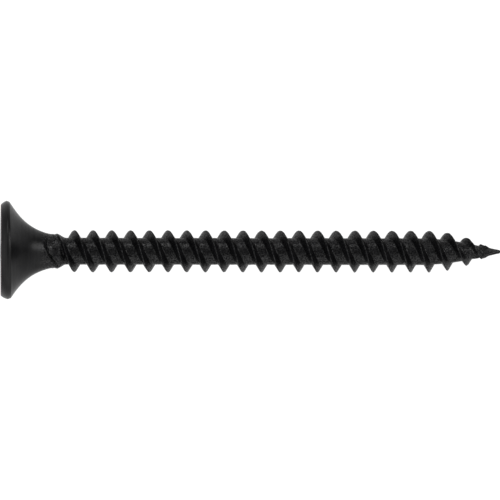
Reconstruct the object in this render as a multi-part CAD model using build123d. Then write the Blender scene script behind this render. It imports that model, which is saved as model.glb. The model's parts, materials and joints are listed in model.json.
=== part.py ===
from build123d import *
import os
from math import cos, pi, radians, sin, sqrt, tan

# Bugle-head screw with a twin-start thread, formed from one steel wire. Millimetres.
# The screw's axis is X: the head's flat top face is at X = 0 and the point is at +X.
# A right-hand thread with two starts, half a turn apart, runs from the neck to the point.

# Driving dimensions
total_length = 42.0
head_diameter = 8.22
thread_diameter = 3.52
core_diameter = 2.24
crest_spacing = 1.57

# Head: a flat face, a rounded rim with a sharp underside edge, and a trumpet-shaped neck
face_diameter = 7.60
rim_shoulder_at = 0.22
rim_shoulder_diameter = 7.94
rim_widest_at = 0.55
rim_edge_at = 0.78
rim_edge_diameter = 8.04
trumpet_first_handle = (1.26, 3.33)
trumpet_last_handle = (2.13, 1.84)
trumpet_end = 4.2
neck_diameter = 2.86
neck_end = 4.8
core_start = 5.5

# Thread
flank_half_angle = 28.0
crest_flat = 0.05
crest_at_y_side = 7.70
full_thread_start = 6.2
run_out_slope = 0.20

# Point: the core falls away along an arc and then a cone, and the crests along a tighter arc
core_taper_start = 35.1
core_taper_radius = 20.4
cone_start = 39.1
crest_taper_start = 35.6
crest_taper_radius = 11.0
tip_diameter = 0.26

# Cross recess, size 2
recess_width = 4.8
recess_depth = 2.4
recess_floor_width = 2.3
slot_width = 1.06
slot_floor_width = 0.80
recess_core_diameter = 2.5
recess_core_floor_diameter = 1.5
recess_floor_cone_depth = 0.35

# Worked out from the sizes above
head_radius = head_diameter / 2
thread_radius = thread_diameter / 2
core_radius = core_diameter / 2
neck_radius = neck_diameter / 2
tip_radius = tip_diameter / 2
half_crest = crest_flat / 2
half_base = half_crest + (thread_radius - core_radius) * tan(radians(flank_half_angle))

# The threaded shank starts at the crest's root edge nearest to the trumpet's end
crests_back_to_neck = round((crest_at_y_side - half_base - trumpet_end) / crest_spacing)
shank_start = crest_at_y_side - half_base - crests_back_to_neck * crest_spacing
crest_count = int((total_length - shank_start) / crest_spacing) - 1

points_per_half_turn = 12


def arc_drop(radius, distance):
    """How far an arc of this radius has fallen below its tangent, this far along it."""
    return radius - sqrt(radius**2 - distance**2)


cone_radius = core_radius - arc_drop(core_taper_radius, cone_start - core_taper_start)


def root_radius(x):
    """Radius of the neck, core and point between the threads."""
    if x < neck_end:
        return neck_radius
    if x < core_start:
        share = (x - neck_end) / (core_start - neck_end)
        return neck_radius + share * (core_radius - neck_radius)
    if x < core_taper_start:
        return core_radius
    if x < cone_start:
        return core_radius - arc_drop(core_taper_radius, x - core_taper_start)
    share = (x - cone_start) / (total_length - cone_start)
    return cone_radius + share * (tip_radius - cone_radius)


def crest_radius(x):
    """Radius of the crests, which rise out of the neck and sink into the point."""
    radius = thread_radius
    if x < full_thread_start:
        radius = thread_radius - run_out_slope * (full_thread_start - x)
    if x > crest_taper_start:
        radius = thread_radius - arc_drop(crest_taper_radius, x - crest_taper_start)
    return max(radius, root_radius(x))


# The thread's section across one crest: distance from the crest's middle, and the radius there
thread_section = [
    (-half_base, root_radius),
    (-half_crest, crest_radius),
    (half_crest, crest_radius),
    (half_base, root_radius),
]


def half_turn_edge(x_start, x_end, radius_at):
    """A helical edge that climbs half a turn, from the +Y side over +Z to the -Y side."""
    points = []
    for i in range(points_per_half_turn + 1):
        share = i / points_per_half_turn
        x = x_start + share * (x_end - x_start)
        points.append((x, radius_at(x) * cos(pi * share), radius_at(x) * sin(pi * share)))
    return Spline(*points)


def half_circle_edge(x, radius):
    """The plain edge that ends the shank, over the same half turn."""
    return ThreePointArc((x, radius, 0), (x, 0, radius), (x, -radius, 0))


def shank_edges():
    """The edges of the shank's +Z half, in order from the neck to the tip.

    Each crest has four edges. At both ends one set of four runs together into a single
    point, so that the helix meets the half circle there.
    """
    edges = [half_circle_edge(shank_start, neck_radius)]
    for offset, radius_at in thread_section[1:]:
        edges.append(half_turn_edge(shank_start, shank_start + half_base + offset, radius_at))
    for crest in range(crest_count):
        middle = shank_start + half_base + crest * crest_spacing
        for offset, radius_at in thread_section:
            start = middle + offset
            edges.append(half_turn_edge(start, start + crest_spacing, radius_at))
    middle = shank_start + half_base + crest_count * crest_spacing
    for offset, radius_at in thread_section:
        edges.append(half_turn_edge(middle + offset, total_length, radius_at))
    edges.append(half_circle_edge(total_length, tip_radius))
    return edges


def make_shank():
    """The threaded shank: ruled faces between neighbouring edges, and a flat at each end."""
    edges = shank_edges()
    half = []
    for left, right in zip(edges, edges[1:]):
        half.append(Face.make_surface_from_curves(left.edge(), right.edge()))
    faces = half + [Rot(180, 0, 0) * face for face in half]
    for x, radius in ((shank_start, neck_radius), (total_length, tip_radius)):
        arc = half_circle_edge(x, radius).edge()
        faces.append(Face(Wire([arc, Rot(180, 0, 0) * arc])))
    return Solid(Shell(faces))


def make_head():
    """The head and its trumpet-shaped underside, turned about the screw's axis."""
    rim_top = ThreePointArc(
        (0, face_diameter / 2),
        (rim_shoulder_at, rim_shoulder_diameter / 2),
        (rim_widest_at, head_radius),
    )
    rim_side = Line((rim_widest_at, head_radius), (rim_edge_at, rim_edge_diameter / 2))
    trumpet = Bezier(
        (rim_edge_at, rim_edge_diameter / 2),
        trumpet_first_handle,
        trumpet_last_handle,
        (shank_start, neck_radius),
    )
    inside = Polyline((shank_start, neck_radius), (shank_start, 0), (0, 0), (0, face_diameter / 2))
    outline = make_face([rim_top, rim_side, trumpet, inside])
    return revolve(outline, axis=Axis.X)


def make_recess():
    """The hollow of the cross recess: two crossed tapered slots and a tapered core."""
    mouth = Plane.YZ
    floor = Plane.YZ.offset(recess_depth)
    slot = loft([
        mouth * Rectangle(recess_width, slot_width),
        floor * Rectangle(recess_floor_width, slot_floor_width),
    ])
    core = loft([
        mouth * Circle(recess_core_diameter / 2),
        floor * Circle(recess_core_floor_diameter / 2),
    ])
    floor_cone = floor * Cone(
        recess_core_floor_diameter / 2,
        0,
        recess_floor_cone_depth,
        align=(Align.CENTER, Align.CENTER, Align.MIN),
    )
    return slot + Rot(90, 0, 0) * slot + core + floor_cone


screw = make_head() + make_shank() - make_recess()

os.makedirs("parts", exist_ok=True)
export_step(screw, "parts/screw.step")
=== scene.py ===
import json
import math

import bmesh
import bpy
import numpy as np
from mathutils import Matrix, Vector


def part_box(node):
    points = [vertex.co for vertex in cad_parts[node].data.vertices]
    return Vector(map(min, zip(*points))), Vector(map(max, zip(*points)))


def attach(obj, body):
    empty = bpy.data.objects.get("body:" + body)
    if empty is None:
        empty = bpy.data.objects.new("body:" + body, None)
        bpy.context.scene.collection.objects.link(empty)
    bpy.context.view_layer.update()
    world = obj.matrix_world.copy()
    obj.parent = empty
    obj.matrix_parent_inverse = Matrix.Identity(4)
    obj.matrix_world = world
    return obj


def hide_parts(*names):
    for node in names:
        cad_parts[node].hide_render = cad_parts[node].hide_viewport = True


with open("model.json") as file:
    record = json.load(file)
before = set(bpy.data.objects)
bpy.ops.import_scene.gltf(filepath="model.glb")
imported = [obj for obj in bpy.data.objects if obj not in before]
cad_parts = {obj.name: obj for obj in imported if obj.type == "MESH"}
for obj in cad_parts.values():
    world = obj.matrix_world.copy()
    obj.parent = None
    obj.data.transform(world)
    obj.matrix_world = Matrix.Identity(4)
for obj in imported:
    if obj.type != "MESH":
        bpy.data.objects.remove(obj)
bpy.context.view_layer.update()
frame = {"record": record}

# The finished look of the bugle-head, twin-thread screw. The frame is in metres, with the head's
# flat face at X = 0 and the point at +X. The sizes below are in millimetres; MM turns them to metres.

MM = 0.001

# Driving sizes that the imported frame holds
screw_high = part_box("screw")[1]
thread_mount = next(m for m in frame["record"]["mounts"] if m["name"] == "thread")
LENGTH = screw_high.x / MM
HEAD_RADIUS = screw_high.y / MM
THREAD_RADIUS = thread_mount["dims"]["r_mm"]

# Head, rim and trumpet-shaped underside
FACE_RADIUS = 3.80
FACE_EDGE_ROUND = 0.05
FACE_WORN_BAND = 0.25
RIM_SHOULDER = (0.22, 3.97)
RIM_WIDEST_AT = 0.55
RIM_EDGE = (0.79, 4.02)
RIM_EDGE_ROUND = 0.03
RIM_OFF_CENTRE = 0.095
RIM_LEAN = 0.065
RIM_BLENDS_OVER = (0.75, 1.05)
TRUMPET_HANDLES = ((1.26, 3.33), (2.13, 1.84))
TRUMPET_END = 4.2
SHANK_START = 2.9
NECK_RADIUS = 1.43
NECK_DROP = (4.72, 5.45)

# Thread
STARTS = 2
CORE_RADIUS = 1.12
CREST_SPACING = 1.57
CREST_AT_Y_SIDE = 7.70
CREST_HALF_WIDTH = 0.030
FLANK_HALF_ANGLE = math.radians(28)
CREST_ROUND = 0.03
ROOT_ROUND = 0.07
FULL_THREAD_START = 6.2
RUN_OUT_SLOPE = 0.20

# Ends of the thread on the neck: where its marks show, the angle at which a start ends, and the
# crease and raised lip there
MARKS_APPEAR = (TRUMPET_END, 4.6)
MARKS_FADE = (5.5, 6.0)
START_ANGLE = 1.4
CREASE_APPEARS = (-0.8, -0.4)
CREASE_FADES = (1.1, 1.4)
CREASE_AT = 3.71
CREASE_LEAN = 0.84
LIP_RISES = (3.6, 3.85)
LIP_FALLS = (3.85, 4.5)

# Point
CORE_TAPER_START = 35.1
CORE_TAPER_RADIUS = 20.4
CONE_START = 39.1
CREST_TAPER_START = 35.6
CREST_TAPER_RADIUS = 11.0
TIP_RADIUS = 0.13
TIP_ROUND = 0.12
POINT_STRETCH = 0.09
STRETCHED_FROM = (37.6, 39.0)
BLUNT_HALF_WIDTH = 0.14
BLUNT_FROM = (39.6, 40.3)

# Small faults: lines left by the rolling dies, and lumps of metal pinched up near the point
ROLLED_LINE_SPACING = 0.11
ROLLED_LINE_HEIGHT = 0.0025
LUMPS_FROM = (38.5, 40.2)
LUMPS_STOP_BEFORE_END = (0.1, 1.2)
LUMP_LIMITS = (-0.02, 0.075)
FAULTS_FADE_AT_END = 0.6

# Cross recess: at the mouth and at the floor
RECESS_DEPTH = 2.4
RECESS_CONE_DEPTH = 0.35
SLOT_REACH = (2.40, 1.15)
SLOT_HALF_WIDTH = (0.53, 0.40)
RECESS_CORE_RADIUS = (1.25, 0.75)
SLOT_CORNER_RADIUS = 0.16
SLOT_END_BULGE = 0.04
MOUTH_ROUND = 0.07

# Finish: the widths of its clouds, grains, crystals and forming streaks, and where the smooth
# head gives way to the rougher rolled shank
CLOUD_MM = 1.1
GRAIN_MM = 0.10
CRYSTAL_MM = 0.07
STREAK_MM = 0.14
ROLLED_FROM = (2.9, 4.0)
DARK_COATING = (0.0012, 0.0012, 0.0014, 1)
PALE_COATING = (0.0028, 0.0028, 0.0031, 1)
RUBBED_COATING = (0.0045, 0.0045, 0.0048, 1)
COATING_GLOSS = 0.02
HEAD_ROUGHNESS = (0.26, 0.36)
SHANK_ROUGHNESS = (0.34, 0.44)

# Oil: how much lies on the smooth head and on the grain of the shank, and how it shines
HEAD_OIL = (0.19, 0.28)
SHANK_OIL = (0.0, 0.54)
OIL_ON_GRAIN = (0.44, 0.58)
OIL_ROUGHNESS = 0.34

# Where a noise's values mostly lie, and how the streaks stretch round the head
NOISE_RANGE = (0.3, 0.7)
STREAK_STRETCH = (1.0, 0.08, 0.08)

# Bumps: their depth in mm, and their strength on the head and on the rolled shank
CRYSTAL_DEPTH = 0.01
CRYSTAL_STRENGTH = 0.2
STREAK_DEPTH = 0.02
STREAK_STRENGTH = (0.2, 0.0)
GRAIN_DEPTH = 0.035
GRAIN_STRENGTH = (0.06, 0.5)

# Points round the screw, and the seed of all its small faults
AROUND = 128
RANDOM_SEED = 7

# View: the camera is nearly square to the screw, with the point a little farther away
VIEW_TILT = math.radians(4.2)
VIEW_ROLL = math.radians(-0.08)
VIEW_DISTANCE = 330.0
VIEW_CENTRE = (20.86, 0.120)
LENS_MM = 283.5
SENSOR_MM = 36.0

# Light: white surroundings, with a dark patch overhead and a dimmer part past the point
OVERHEAD = Vector((0, 0, 1))
PAST_POINT = Vector((0.85, 0.50, 0.10)).normalized()
SKY_LEVEL = 2.0
OVERHEAD_LEVEL = 0.16
DARK_PATCH = math.radians(53)
LAMP_DISTANCE = 320.0

# The sky is dimmed in turn by each of these: from and to which value, and the level at each
DIMMED_BY_SIDEWAYS = (0.1, 0.5, 0.8, 1.05)
DIMMED_TOWARDS_POINT = (0.6, 1.0, 1.0, 0.45)
DIMMED_TOWARDS_Y = (0.2, 0.9, 1.0, 0.35)
DIMMED_PAST_POINT = (0.6, 0.95, 1.0, 0.15)

# Table: the screw lies on its head's rim and on a crest near the point
FLOOR_CONTACT_X = 36.0
FLOOR_RADIUS = 110.0
FLOOR_FADES_FROM = 0.45 * FLOOR_RADIUS
FLOOR_GREY = (0.14, 0.14, 0.14, 1)
FLOOR_GLOW = 0.92


# ---------------------------------------------------------------- curves and fields

def smoothstep(value, low, high):
    """0 below low, 1 above high, and an S-curve between."""
    share = np.clip((value - low) / (high - low), 0.0, 1.0)
    return share * share * (3 - 2 * share)


def smooth_max(a, b, blend):
    """The larger of two heights, with a rounded inside corner."""
    share = np.clip(0.5 + 0.5 * (a - b) / blend, 0.0, 1.0)
    return b + (a - b) * share + blend * share * (1 - share)


def smooth_min(a, b, blend):
    return -smooth_max(-a, -b, blend)


def arc_drop(radius, distance):
    """How far an arc has fallen below its tangent, this far along it."""
    return radius - np.sqrt(radius**2 - distance**2)


def arc_through(start, middle, end, count):
    """Points along the circle through three points."""
    a, b, c = (np.array(p, float) for p in (start, middle, end))
    ab, ac = b - a, c - a
    cross = 2 * (ab[0] * ac[1] - ab[1] * ac[0])
    centre = a + np.array([
        ac[1] * (ab @ ab) - ab[1] * (ac @ ac),
        ab[0] * (ac @ ac) - ac[0] * (ab @ ab),
    ]) / cross
    first = math.atan2(*(a - centre)[::-1])
    last = math.atan2(*(c - centre)[::-1])
    angles = np.linspace(first, last, count)
    radius = np.linalg.norm(a - centre)
    return centre + radius * np.stack([np.cos(angles), np.sin(angles)], axis=1)


def bezier(p0, p1, p2, p3, count):
    t = np.linspace(0, 1, count)[:, None]
    p0, p1, p2, p3 = (np.array(p, float) for p in (p0, p1, p2, p3))
    return (1 - t)**3 * p0 + 3 * (1 - t)**2 * t * p1 + 3 * (1 - t) * t**2 * p2 + t**3 * p3


def ripple(angle, x, height, waves, finest, seed):
    """Smooth seeded noise over the surface, with this finest wavelength in mm."""
    rng = np.random.default_rng(RANDOM_SEED + seed)
    total = np.zeros_like(x)
    for _ in range(waves):
        length = finest * rng.uniform(1.0, 3.0)
        heading = rng.uniform(0, math.pi)
        around = round(2 * math.pi * CORE_RADIUS / length * math.cos(heading))
        along = 2 * math.pi / length * math.sin(heading)
        total += np.sin(around * angle + along * x + rng.uniform(0, 2 * math.pi))
    return height * total / math.sqrt(waves)


def bump(distance, height, at, width):
    """A smooth rise, or a dent where the height is negative."""
    return height * np.exp(-((distance - at) / width)**2)


# ---------------------------------------------------------------- the screw's outer surface

def trumpet_outline(count):
    """(x, radius) down the trumpet-shaped underside, from the rim's edge to the neck."""
    return bezier(RIM_EDGE, *TRUMPET_HANDLES, (TRUMPET_END, NECK_RADIUS), count)


def root_radius(x):
    """Radius of the trumpet's end, neck, core and point between the threads."""
    trumpet_x, trumpet_r = trumpet_outline(400).T
    neck = np.interp(x, trumpet_x, trumpet_r)
    neck = neck + (CORE_RADIUS - NECK_RADIUS) * smoothstep(x, *NECK_DROP)
    arc_length = CONE_START - CORE_TAPER_START
    arc = arc_drop(CORE_TAPER_RADIUS, np.clip(x - CORE_TAPER_START, 0, arc_length))
    cone_drop = CORE_RADIUS - arc_drop(CORE_TAPER_RADIUS, arc_length) - TIP_RADIUS
    cone = cone_drop * np.clip((x - CONE_START) / (LENGTH - CONE_START), 0, 1)
    from_end = np.clip((LENGTH - x) / TIP_ROUND, 0, 1)
    return (neck - arc - cone) * np.sqrt(1 - (1 - from_end)**2)


def crest_radius(x):
    """Radius of the crests, which rise out of the neck and sink into the point."""
    rise = RUN_OUT_SLOPE * np.clip(FULL_THREAD_START - x, 0, None)
    fall = arc_drop(CREST_TAPER_RADIUS, np.clip(x - CREST_TAPER_START, 0, LENGTH - CREST_TAPER_START))
    return THREAD_RADIUS - rise - fall


def thread_height(x, from_crest):
    """Height of the thread above the root, at this distance along the axis from a crest."""
    full = np.maximum(crest_radius(x) - root_radius(x), 0.0)
    half_width = CREST_HALF_WIDTH + BLUNT_HALF_WIDTH * smoothstep(x, *BLUNT_FROM)
    flank = full - (np.abs(from_crest) - half_width) / math.tan(FLANK_HALF_ANGLE)
    crest = smooth_min(flank, full, CREST_ROUND)
    root = smooth_max(crest, 0.0, ROOT_ROUND)
    return np.where(full > 0, root, 0.0) * smoothstep(full, 0.0, CREST_ROUND)


def head_outline():
    """(x, radius) from just inside the face's edge, over the rim and down the trumpet."""
    r = FACE_EDGE_ROUND
    face_edge = [
        (0.0, FACE_RADIUS - FACE_WORN_BAND),
        (0.0, FACE_RADIUS - r),
        (0.24 * r, FACE_RADIUS - 0.24 * r),
    ]
    rim_start = (0.8 * r, FACE_RADIUS + 0.7 * r)
    rim = arc_through(rim_start, RIM_SHOULDER, (RIM_WIDEST_AT, HEAD_RADIUS), 12)
    side_x, side_r = RIM_EDGE
    corner = [(side_x - RIM_EDGE_ROUND, side_r + 0.4 * RIM_EDGE_ROUND)]
    trumpet = trumpet_outline(60)
    trumpet = trumpet[trumpet[:, 0] < SHANK_START]
    end = [(SHANK_START, float(root_radius(np.array(SHANK_START))))]
    return np.concatenate([face_edge, rim, corner, trumpet, end])


def section_offsets():
    """Distances from a crest at which the thread's section has points, over one spacing."""
    right = [0.0, 0.028, 0.05, 0.10, 0.16, 0.22, 0.28, 0.33, 0.38, 0.43, 0.50, 0.58, 0.68]
    left = [-value for value in right[:0:-1]]
    return np.array([-CREST_SPACING / 2] + left + right)


def shank_points(angles):
    """x and distance from the nearest crest for each row and angle, in step with the helix.

    Rows run on past both ends of the shank and are held at its ends, where they close up
    into a plain circle. A whole turn moves the pattern on by one crest for each start.
    """
    offsets = section_offsets()
    first = math.floor((SHANK_START - CREST_AT_Y_SIDE) / CREST_SPACING) - STARTS - 1
    last = math.ceil((LENGTH - CREST_AT_Y_SIDE) / CREST_SPACING) + 1
    crests = np.arange(first, last + 1) * CREST_SPACING + CREST_AT_Y_SIDE
    turns = angles / (2 * math.pi)
    middle = np.repeat(crests, len(offsets))[:, None] + STARTS * CREST_SPACING * turns
    middle += POINT_STRETCH * smoothstep(middle, *STRETCHED_FROM)
    offset = np.tile(offsets, len(crests))[:, None] + np.zeros_like(middle)
    return np.clip(middle + offset, SHANK_START, LENGTH), offset


def run_out_marks(x, from_crest):
    """Where the thread fades out on the neck: a dent along its line, raised lips and a deep foot."""
    full = np.maximum(crest_radius(x) - root_radius(x), 0.0)
    faded = 1 - smoothstep(full, 0.0, 0.12)
    dent = bump(from_crest, height=-0.09, at=-0.08, width=0.07)
    left_lip = bump(from_crest, height=0.04, at=-0.38, width=0.16)
    right_lip = bump(from_crest, height=0.04, at=0.20, width=0.12)
    foot = bump(from_crest, height=-0.05, at=-0.30, width=0.10) * smoothstep(full, 0.03, 0.2)
    on_neck = smoothstep(x, *MARKS_APPEAR) * (1 - smoothstep(x, *MARKS_FADE))
    return on_neck * (faded * (dent + left_lip + right_lip) + foot)


def start_scars(angle, x):
    """Each start's end on the neck: a crease that bends away, with a raised lip beyond it."""
    turned = np.mod(angle, 2 * math.pi / STARTS) - START_ANGLE
    shown = smoothstep(turned, *CREASE_APPEARS) * (1 - smoothstep(turned, *CREASE_FADES))
    crease_at = CREASE_AT + CREASE_LEAN * smooth_max(turned, 0.0, 0.15)
    crease = bump(x, height=-0.15, at=crease_at, width=0.09)
    lip = smoothstep(x, *LIP_RISES) * (1 - smoothstep(x, *LIP_FALLS))
    return crease * shown + lip * bump(turned, height=0.14, at=-0.1, width=0.45)


def surface_noise(angle, x, from_crest, height):
    """Small faults of cold forming: waviness, rolled lines, worn crests and a rough point."""
    wavy = ripple(angle, x, height=0.006, waves=24, finest=1.2, seed=1)
    grain = ripple(angle, x, height=0.006, waves=60, finest=0.20, seed=2)
    on_thread = smoothstep(height, 0.15, 0.6)
    worn = -on_thread * np.abs(ripple(angle, x, height=0.010, waves=30, finest=0.45, seed=3))
    drift = ripple(angle, x, height=1.5, waves=12, finest=2.0, seed=4)
    lines = ROLLED_LINE_HEIGHT * np.sin(2 * math.pi * from_crest / ROLLED_LINE_SPACING + drift)
    near_point = smoothstep(x, *LUMPS_FROM) * smoothstep(LENGTH - x, *LUMPS_STOP_BEFORE_END)
    lumps = np.clip(ripple(angle, x, height=0.05, waves=16, finest=0.7, seed=5), *LUMP_LIMITS)
    fade = smoothstep(LENGTH - x, 0.0, FAULTS_FADE_AT_END)
    return (wavy + grain + worn + lines) * fade + lumps * near_point


def ring_faces(rows, around, row_shift=0):
    """Quads over a grid of rows by columns. The last column meets the first one, row_shift on."""
    row, column = np.meshgrid(np.arange(rows - 1), np.arange(around), indexing="ij")
    after = (column + 1) % around
    shift = np.where(column == around - 1, row_shift, 0)
    keep = row + 1 + shift < rows
    corners = np.stack([
        row * around + column,
        (row + 1) * around + column,
        (row + 1 + shift) * around + after,
        (row + shift) * around + after,
    ], axis=-1)
    return corners[keep]


def on_circles(x, radius, angle):
    """Points at these radii about the screw's axis."""
    return np.stack([x, radius * np.cos(angle), radius * np.sin(angle)], -1).reshape(-1, 3)


def make_head_surface(angles):
    """Points and edge wear of the face's edge, the rim and the trumpet."""
    outline = head_outline()
    angle = np.zeros((len(outline), 1)) + angles
    x = outline[:, 0:1] + np.zeros_like(angle)
    radius = outline[:, 1:2] + np.zeros_like(angle)
    wear = bump(x, height=1.0, at=RIM_EDGE[0], width=0.06)
    wear += bump(x, height=1.0, at=0.0, width=0.05) * (radius >= FACE_RADIUS - FACE_EDGE_ROUND)
    fade = smoothstep(x, 0.0, 0.3) * smoothstep(SHANK_START - x, 0.0, 0.3)
    radius = radius + fade * ripple(angle, x, height=0.006, waves=24, finest=1.6, seed=6)
    on_rim = 1 - smoothstep(x, *RIM_BLENDS_OVER)
    lean = RIM_LEAN * np.cos(angle) * on_rim * smoothstep(x, 0.1, RIM_BLENDS_OVER[0])
    points = on_circles(x - lean, radius, angle)
    points[:, 1] += (RIM_OFF_CENTRE * on_rim).ravel()
    return points, wear.ravel()


def make_shank_surface(angles):
    """Points, edge wear and rolled finish of the threaded shank, from the trumpet to the tip."""
    x, from_crest = shank_points(angles)
    angle = np.zeros_like(x) + angles
    height = thread_height(x, from_crest)
    rolled = smoothstep(x, *ROLLED_FROM)
    noise = surface_noise(angle, x, from_crest, height) * rolled
    radius = root_radius(x) + height + noise + run_out_marks(x, from_crest) + start_scars(angle, x)
    radius = np.maximum(radius, 0.3 * TIP_RADIUS)
    full = np.maximum(crest_radius(x) - root_radius(x), 0.0)
    on_crest = 1 - smoothstep(np.abs(from_crest), CREST_HALF_WIDTH, 3 * CREST_HALF_WIDTH)
    wear = on_crest * smoothstep(full, 0.1, 0.4)
    return on_circles(x, radius, angle), wear.ravel(), rolled.ravel()


def make_outer_surface():
    """Points, faces, edge wear and rolled finish of the rim, trumpet and threaded shank."""
    angles = np.arange(AROUND) * 2 * math.pi / AROUND
    head, head_wear = make_head_surface(angles)
    shank, shank_wear, shank_rolled = make_shank_surface(angles)
    head_faces = ring_faces(len(head) // AROUND, AROUND)
    shank_faces = ring_faces(len(shank) // AROUND, AROUND, STARTS * len(section_offsets()))
    faces = np.concatenate([head_faces, shank_faces + len(head)])
    wear = np.concatenate([head_wear, shank_wear])
    rolled = np.concatenate([np.zeros(len(head)), shank_rolled])
    return np.concatenate([head, shank]), faces, wear, rolled


# ---------------------------------------------------------------- the cross recess

def quarter_of_cross(reach, half_width, core_radius):
    """One arm of the cross's outline, from the hollow on its one side to just before the next."""
    meets = math.asin(half_width / core_radius)
    corner = SLOT_CORNER_RADIUS
    points = [
        (core_radius * math.cos(a), core_radius * math.sin(a))
        for a in np.linspace(-math.pi / 4, -meets, 5)
    ]
    side_start = core_radius * math.cos(meets)
    for x in np.linspace(side_start, reach - corner, 4)[1:-1]:
        points.append((x, -half_width))
    for a in np.linspace(-math.pi / 2, 0, 5):
        points.append((reach - corner + corner * math.cos(a), corner - half_width + corner * math.sin(a)))
    points.append((reach + 0.75 * SLOT_END_BULGE, -0.5 * (half_width - corner)))
    half = np.array(points)
    mirrored = half[::-1] * np.array([1, -1])
    middle = np.array([[reach + SLOT_END_BULGE, 0.0]])
    return np.concatenate([half, middle, mirrored])[:-1]


def cross_loop(x, share, grow=0.0):
    """The cross's outline at one depth. Share is 0 at the mouth and 1 at the floor."""
    reach, half_width, core_radius = (
        (1 - share) * mouth + share * floor + grow
        for mouth, floor in (SLOT_REACH, SLOT_HALF_WIDTH, RECESS_CORE_RADIUS)
    )
    arm = quarter_of_cross(reach, half_width, core_radius)
    loop = []
    for turn in range(4):
        c, s = round(math.cos(turn * math.pi / 2)), round(math.sin(turn * math.pi / 2))
        loop.append(arm @ np.array([[c, s], [-s, c]]))
    flat = np.concatenate(loop)
    return np.concatenate([np.full((len(flat), 1), x), flat], axis=1)


def make_recess():
    """Points, faces and wear of the recess, from just outside its mouth to its floor."""
    mouth_rings = [
        (cross_loop(0.0, 0.0, 3 * MOUTH_ROUND), 0.0),
        (cross_loop(0.0, 0.0, MOUTH_ROUND), 0.3),
        (cross_loop(0.17 * MOUTH_ROUND, 0.0, 0.45 * MOUTH_ROUND), 1.0),
        (cross_loop(0.57 * MOUTH_ROUND, 0.0, 0.12 * MOUTH_ROUND), 0.5),
        (cross_loop(MOUTH_ROUND, 0.03), 0.0),
    ]
    loops = [loop for loop, _ in mouth_rings]
    for share in (0.25, 0.5, 0.75, 0.94, 1.0):
        loops.append(cross_loop(share * RECESS_DEPTH, share))
    floor = loops[-1]
    for shrink in (0.93, 0.6, 0.3):
        loop = floor * np.array([1.0, shrink, shrink])
        loop[:, 0] = RECESS_DEPTH + (1.0 - shrink) * RECESS_CONE_DEPTH
        loops.append(loop)
    around = len(floor)
    points = np.concatenate(loops + [np.array([[RECESS_DEPTH + RECESS_CONE_DEPTH, 0, 0]])])
    last = (len(loops) - 1) * around
    centre = len(points) - 1
    faces = ring_faces(len(loops), around).tolist()
    faces += [[last + i, centre, last + (i + 1) % around] for i in range(around)]
    wear = np.zeros(len(points))
    wear[:len(mouth_rings) * around] = np.repeat([worn for _, worn in mouth_rings], around)
    return points, faces, wear, around


# ---------------------------------------------------------------- the whole screw

def angles_about_axis(points):
    """Each point's angle from +Y over +Z, counted up from the first point's own."""
    angles = np.arctan2(points[:, 2], points[:, 1])
    return np.mod(angles - angles[0] + 1e-6, 2 * math.pi)


def flat_face(rim, mouth):
    """Triangles between the rim's circle and the recess's mouth, as (ring, index) corners.

    Both rings start at the same angle, and each triangle steps along the ring that lags behind.
    """
    rim_angles = np.append(angles_about_axis(rim), 2 * math.pi)
    mouth_angles = np.append(angles_about_axis(mouth), 2 * math.pi)
    faces = []
    i = j = 0
    while i < len(rim) or j < len(mouth):
        on_rim = (0, i % len(rim))
        on_mouth = (1, j % len(mouth))
        rim_lags = i < len(rim) and (j == len(mouth) or rim_angles[i + 1] <= mouth_angles[j + 1])
        if rim_lags:
            i += 1
            faces.append([on_rim, (0, i % len(rim)), on_mouth])
        else:
            j += 1
            faces.append([on_rim, (1, j % len(mouth)), on_mouth])
    return faces


def make_screw():
    """The whole screw as one closed mesh."""
    outer, outer_faces, outer_wear, outer_rolled = make_outer_surface()
    recess, recess_faces, recess_wear, mouth_count = make_recess()
    first_of_recess = len(outer)
    faces = outer_faces.tolist()
    faces += [[first_of_recess + i for i in face[::-1]] for face in recess_faces]

    # The recess's mouth starts an eighth of a turn below +Y, so the rim's ring is read from there
    rim_ring = np.roll(np.arange(AROUND), AROUND // 8)
    rings = (rim_ring, first_of_recess + np.arange(mouth_count))
    for corners in flat_face(outer[rim_ring], recess[:mouth_count]):
        faces.append([int(rings[ring][index]) for ring, index in corners])

    mesh = bpy.data.meshes.new("screw_finished")
    mesh.from_pydata((np.concatenate([outer, recess]) * MM).tolist(), [], faces)
    wear = np.concatenate([outer_wear, recess_wear])
    rolled = np.concatenate([outer_rolled, np.zeros(len(recess))])
    for name, values in (("wear", wear), ("rolled", rolled)):
        layer = mesh.attributes.new(name, "FLOAT", "POINT")
        layer.data.foreach_set("value", values.astype(np.float32))
    close_up(mesh)
    mesh.set_sharp_from_angle(angle=math.radians(50))

    piece = bpy.data.objects.new("screw_finished", mesh)
    bpy.context.scene.collection.objects.link(piece)
    return piece


def close_up(mesh):
    """Merge the rows that meet at the shank's ends, cap the tip and keep the face flat."""
    shape = bmesh.new()
    shape.from_mesh(mesh)
    merge_within = 0.0005 * MM
    bmesh.ops.remove_doubles(shape, verts=shape.verts, dist=merge_within)
    bmesh.ops.dissolve_degenerate(shape, edges=shape.edges, dist=merge_within)
    open_edges = [edge for edge in shape.edges if edge.is_boundary]
    bmesh.ops.holes_fill(shape, edges=open_edges, sides=0)
    bmesh.ops.recalc_face_normals(shape, faces=shape.faces)
    for face in shape.faces:
        face.smooth = max(vert.co.x for vert in face.verts) > 0
    shape.to_mesh(mesh)
    shape.free()


# ---------------------------------------------------------------- materials

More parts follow.
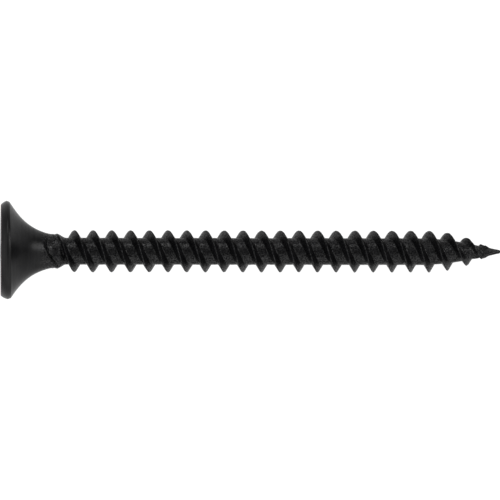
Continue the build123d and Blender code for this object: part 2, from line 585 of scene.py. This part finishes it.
class Nodes:
    """Short calls for building a node tree."""

    def __init__(self, tree):
        self.tree = tree
        tree.nodes.clear()

    def add(self, kind, **settings):
        node = self.tree.nodes.new(kind)
        inputs = settings.pop("inputs", {})
        for name, value in settings.items():
            setattr(node, name, value)
        for name, value in inputs.items():
            if isinstance(value, bpy.types.NodeSocket):
                self.tree.links.new(value, node.inputs[name])
            else:
                node.inputs[name].default_value = value
        return node

    def math(self, operation, a, b):
        return self.add("ShaderNodeMath", operation=operation, inputs={0: a, 1: b}).outputs["Value"]

    def mix(self, share, a, b):
        """a where share is 0 and b where it is 1."""
        return self.add("ShaderNodeMix", inputs={"Factor": share, "A": a, "B": b}).outputs["Result"]

    def ramp(self, value, low, high, to_low, to_high, shape="LINEAR"):
        """Value, carried from the range low..high to the range to_low..to_high."""
        return self.add("ShaderNodeMapRange", interpolation_type=shape, inputs={
            "Value": value, "From Min": low, "From Max": high, "To Min": to_low, "To Max": to_high,
        }).outputs["Result"]

    def noise(self, place, size, detail, roughness):
        """Noise whose features are about this many millimetres wide."""
        return self.add("ShaderNodeTexNoise", inputs={
            "Vector": place, "Scale": 1 / (size * MM), "Detail": detail, "Roughness": roughness,
        }).outputs["Fac"]


def coating_colour(n, cloud, grain, wear):
    """Near-black in soft clouds, a little paler where an edge is rubbed."""
    tone = n.add("ShaderNodeValToRGB", inputs={"Fac": cloud})
    dark, pale = tone.color_ramp.elements
    dark.position, dark.color = 0.35, DARK_COATING
    pale.position, pale.color = 0.68, PALE_COATING
    rubbed = n.math("MULTIPLY", wear, n.ramp(grain, *NOISE_RANGE, 0.2, 1.0))
    colour = n.add("ShaderNodeMix", data_type="RGBA")
    n.tree.links.new(rubbed, colour.inputs["Factor"])
    n.tree.links.new(tone.outputs["Color"], colour.inputs["A"])
    colour.inputs["B"].default_value = RUBBED_COATING
    return colour.outputs["Result"]


def coating_bumps(n, rolled, crystals, streaks, grain):
    """Fine crystals everywhere, forming streaks on the head and coarser grain on the rolled shank."""
    fine = n.add("ShaderNodeBump", inputs={
        "Height": crystals, "Strength": CRYSTAL_STRENGTH, "Distance": CRYSTAL_DEPTH * MM,
    }).outputs["Normal"]
    lined = n.add("ShaderNodeBump", inputs={
        "Height": streaks, "Strength": n.ramp(rolled, 0.0, 1.0, *STREAK_STRENGTH),
        "Distance": STREAK_DEPTH * MM, "Normal": fine,
    }).outputs["Normal"]
    return n.add("ShaderNodeBump", inputs={
        "Height": grain, "Strength": n.ramp(rolled, 0.0, 1.0, *GRAIN_STRENGTH),
        "Distance": GRAIN_DEPTH * MM, "Normal": lined,
    }).outputs["Normal"]


def phosphate_material():
    """Black zinc-phosphate over steel: dark, finely grained and paler where rubbed.

    The coating itself is matt. Its sheen is a trace of oil, even on the head and broken up by
    the grain on the rolled shank.
    """
    material = bpy.data.materials.new("black_phosphate")
    material.use_nodes = True
    n = Nodes(material.node_tree)
    place = n.add("ShaderNodeTexCoord").outputs["Object"]
    wear = n.add("ShaderNodeAttribute", attribute_name="wear").outputs["Fac"]
    rolled = n.add("ShaderNodeAttribute", attribute_name="rolled").outputs["Fac"]
    cloud = n.noise(place, CLOUD_MM, detail=4.0, roughness=0.6)
    grain = n.noise(place, GRAIN_MM, detail=3.0, roughness=0.7)
    stretched = n.add("ShaderNodeVectorMath", operation="MULTIPLY", inputs={0: place, 1: STREAK_STRETCH})
    streaks = n.noise(stretched.outputs["Vector"], STREAK_MM, detail=3.0, roughness=0.6)
    crystals = n.add("ShaderNodeTexVoronoi", inputs={"Vector": place, "Scale": 1 / (CRYSTAL_MM * MM)})

    head_oil = n.ramp(streaks, *NOISE_RANGE, *HEAD_OIL)
    shank_oil = n.ramp(grain, *OIL_ON_GRAIN, *SHANK_OIL)
    head_roughness = n.ramp(cloud, *NOISE_RANGE, *HEAD_ROUGHNESS)
    shank_roughness = n.ramp(cloud, *NOISE_RANGE, *SHANK_ROUGHNESS)
    shader = n.add("ShaderNodeBsdfPrincipled", inputs={
        "Base Color": coating_colour(n, cloud, grain, wear),
        "Roughness": n.mix(rolled, head_roughness, shank_roughness),
        "Specular IOR Level": COATING_GLOSS,
        "Coat Weight": n.mix(rolled, head_oil, shank_oil),
        "Coat Roughness": OIL_ROUGHNESS,
        "Normal": coating_bumps(n, rolled, crystals.outputs["Distance"], streaks, grain),
    })
    n.add("ShaderNodeOutputMaterial", inputs={"Surface": shader.outputs["BSDF"]})
    return material


def floor_material():
    """A pale lit table that fades away at its edge."""
    material = bpy.data.materials.new("pale_table")
    material.use_nodes = True
    n = Nodes(material.node_tree)
    place = n.add("ShaderNodeTexCoord").outputs["Object"]
    away = n.add("ShaderNodeVectorMath", operation="LENGTH", inputs={0: place}).outputs["Value"]
    fade = n.ramp(away, FLOOR_FADES_FROM * MM, FLOOR_RADIUS * MM, 0.0, 1.0, "SMOOTHSTEP")
    surface = n.add("ShaderNodeBsdfPrincipled", inputs={
        "Base Color": FLOOR_GREY, "Roughness": 0.8, "Specular IOR Level": 0.0,
        "Emission Color": (1, 1, 1, 1), "Emission Strength": FLOOR_GLOW,
    }).outputs["BSDF"]
    clear = n.add("ShaderNodeBsdfTransparent").outputs["BSDF"]
    mixed = n.add("ShaderNodeMixShader", inputs={"Fac": fade, 1: surface, 2: clear})
    n.add("ShaderNodeOutputMaterial", inputs={"Surface": mixed.outputs["Shader"]})
    return material


# ---------------------------------------------------------------- stage

def make_floor():
    """A disc that touches the head's rim and a crest near the point, as the screw lies on a table."""
    slope = (HEAD_RADIUS - THREAD_RADIUS) / (FLOOR_CONTACT_X - RIM_WIDEST_AT)
    shape = bmesh.new()
    bmesh.ops.create_circle(shape, cap_ends=True, segments=96, radius=FLOOR_RADIUS * MM)
    mesh = bpy.data.meshes.new("table")
    shape.to_mesh(mesh)
    shape.free()
    mesh.materials.append(floor_material())
    table = bpy.data.objects.new("table", mesh)
    middle_x = LENGTH / 2
    height = -HEAD_RADIUS + slope * (middle_x - RIM_WIDEST_AT)
    to_middle = Matrix.Translation((middle_x * MM, 0, height * MM))
    table.matrix_world = to_middle @ Matrix.Rotation(-math.atan(slope), 4, "Y")
    bpy.context.scene.collection.objects.link(table)


def make_world():
    """White surroundings, darker overhead, past the point and towards +Y, and even below."""
    world = bpy.data.worlds.new("studio")
    bpy.context.scene.world = world
    world.use_nodes = True
    n = Nodes(world.node_tree)
    direction = n.add("ShaderNodeTexCoord").outputs["Generated"]
    parts = n.add("ShaderNodeSeparateXYZ", inputs={"Vector": direction}).outputs
    overhead = n.add("ShaderNodeVectorMath", operation="DOT_PRODUCT", inputs={0: direction, 1: OVERHEAD})
    past_point = n.add("ShaderNodeVectorMath", operation="DOT_PRODUCT", inputs={0: direction, 1: PAST_POINT})
    from_overhead = n.add("ShaderNodeMath", operation="ARCCOSINE", inputs={0: overhead.outputs["Value"]})
    sideways = n.add("ShaderNodeMath", operation="ABSOLUTE", inputs={0: parts["X"]})

    sky = n.ramp(from_overhead.outputs["Value"], 0.0, DARK_PATCH, OVERHEAD_LEVEL, SKY_LEVEL, "SMOOTHSTEP")
    for value, dimmed in (
        (sideways.outputs["Value"], DIMMED_BY_SIDEWAYS),
        (parts["X"], DIMMED_TOWARDS_POINT),
        (parts["Y"], DIMMED_TOWARDS_Y),
        (past_point.outputs["Value"], DIMMED_PAST_POINT),
    ):
        sky = n.math("MULTIPLY", sky, n.ramp(value, *dimmed, "SMOOTHSTEP"))
    above = n.ramp(parts["Z"], -0.01, 0.01, 0.0, 1.0)
    level = n.mix(above, 1.0, sky)
    light = n.add("ShaderNodeBackground", inputs={"Color": (1, 1, 1, 1), "Strength": level})
    n.add("ShaderNodeOutputWorld", inputs={"Surface": light.outputs["Background"]})


def soft_box(name, towards, size, brightness):
    """A square lamp in this direction from the screw's middle, facing it."""
    lamp = bpy.data.lights.new(name, "AREA")
    lamp.shape = "SQUARE"
    lamp.size = size * MM
    lamp.energy = brightness * math.pi * lamp.size**2
    holder = bpy.data.objects.new(name, lamp)
    away = Vector(towards).normalized()
    holder.location = (Vector((LENGTH / 2, 0, 0)) + away * LAMP_DISTANCE) * MM
    holder.rotation_mode = "QUATERNION"
    holder.rotation_quaternion = away.to_track_quat("Z", "Y")
    bpy.context.scene.collection.objects.link(holder)


def make_camera():
    camera = bpy.data.cameras.new("camera")
    camera.lens = LENS_MM
    camera.sensor_width = SENSOR_MM
    camera.clip_start = 0.005
    camera.clip_end = 10.0
    holder = bpy.data.objects.new("camera", camera)
    c, s = math.cos(VIEW_TILT), math.sin(VIEW_TILT)
    back = Vector((-s, 0, c))
    level, upright = Vector((c, 0, s)), Vector((0, 1, 0))
    right = math.cos(VIEW_ROLL) * level - math.sin(VIEW_ROLL) * upright
    up = back.cross(right)
    target = Vector((VIEW_CENTRE[0], VIEW_CENTRE[1], 0)) * MM
    place = target + back * VIEW_DISTANCE * MM
    turn = Matrix((right, up, back)).transposed().to_4x4()
    holder.matrix_world = Matrix.Translation(place) @ turn
    bpy.context.scene.collection.objects.link(holder)
    bpy.context.scene.camera = holder


make_camera()
screw = make_screw()
screw.data.materials.append(phosphate_material())
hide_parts("screw")
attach(screw, "root")

make_floor()
make_world()
soft_box("window_side", towards=(0, -0.97, 0.25), size=300, brightness=0.5)
soft_box("lamp_side", towards=(-0.1, 0.82, 0.57), size=130, brightness=6.0)
soft_box("key_lamp", towards=(0.71, 0.36, 0.60), size=150, brightness=7.5)
bpy.context.scene.view_settings.view_transform = "Standard"
